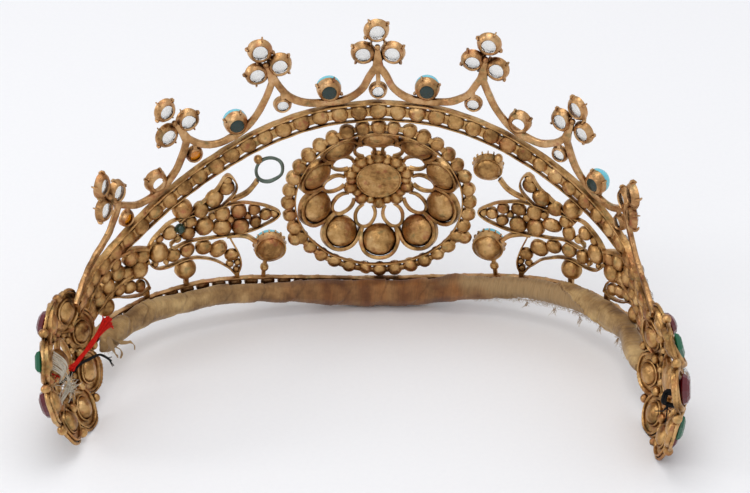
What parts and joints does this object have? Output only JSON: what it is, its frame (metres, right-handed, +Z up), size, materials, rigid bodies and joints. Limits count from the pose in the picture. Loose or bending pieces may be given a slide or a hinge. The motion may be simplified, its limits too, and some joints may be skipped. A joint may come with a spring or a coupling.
{
  "type": "tiara",
  "caption": "Worn gilt-metal tiara of closed collets and cut stones, with a domed flower medallion, leaf sprays, end rosettes and a silk-bound roll inside.",
  "frame": {"origin": "middle of the bounding box's footprint, on the surface that the tiara stands on", "axes": "+Z up as it stands; +X along its width; the jewelled front faces -Y and the open side +Y"},
  "size_m": [0.1512, 0.0856, 0.0829],
  "materials": {
    "gilt_brass": "old gilding over brass, brown in the hollows and coppery where it is rubbed",
    "tarnished_wire": "bare wire, tarnished grey-green",
    "silk_ribbon": "tan silk ribbon wound over a padded roll, frayed and soiled",
    "turquoise": "opaque turquoise-blue cabochon, smooth",
    "red_glass": "faceted deep red paste",
    "green_glass": "faceted green paste",
    "clear_glass": "faceted clear paste"
  },
  "bodies": {
    "root": {"base_rail": "gilt_brass", "arch_rail": "gilt_brass", "crest": "gilt_brass", "trefoil_1": "gilt_brass", "trefoil_2": "gilt_brass", "trefoil_3": "gilt_brass", "trefoil_4": "gilt_brass", "trefoil_5": "gilt_brass", "trefoil_6": "gilt_brass", "trefoil_7": "gilt_brass", "medallion_ring": "gilt_brass", "medallion_flower": "gilt_brass", "spray_left": "gilt_brass", "spray_right": "gilt_brass", "setting_upper_left": "tarnished_wire", "setting_upper_right": "gilt_brass", "setting_lower_left": "gilt_brass", "setting_lower_right": "gilt_brass", "rosette_left": "gilt_brass", "rosette_right": "gilt_brass", "ribbon_roll": "silk_ribbon", "turquoise_1": "turquoise", "turquoise_2": "turquoise", "turquoise_3": "turquoise", "turquoise_4": "turquoise", "rosette_stone_left_1": "green_glass", "rosette_stone_left_2": "red_glass", "rosette_stone_left_3": "green_glass", "rosette_stone_left_4": "red_glass", "rosette_stone_left_5": "green_glass", "rosette_stone_left_6": "red_glass", "rosette_stone_left_7": "green_glass", "rosette_stone_left_8": "red_glass", "rosette_stone_right_1": "green_glass", "rosette_stone_right_2": "red_glass", "rosette_stone_right_3": "green_glass", "rosette_stone_right_4": "red_glass", "rosette_stone_right_5": "green_glass", "rosette_stone_right_6": "red_glass", "rosette_stone_right_7": "green_glass", "rosette_stone_right_8": "red_glass", "rosette_heart_stone_left": "clear_glass", "rosette_heart_stone_right": "clear_glass"}
  },
  "joints": []
}
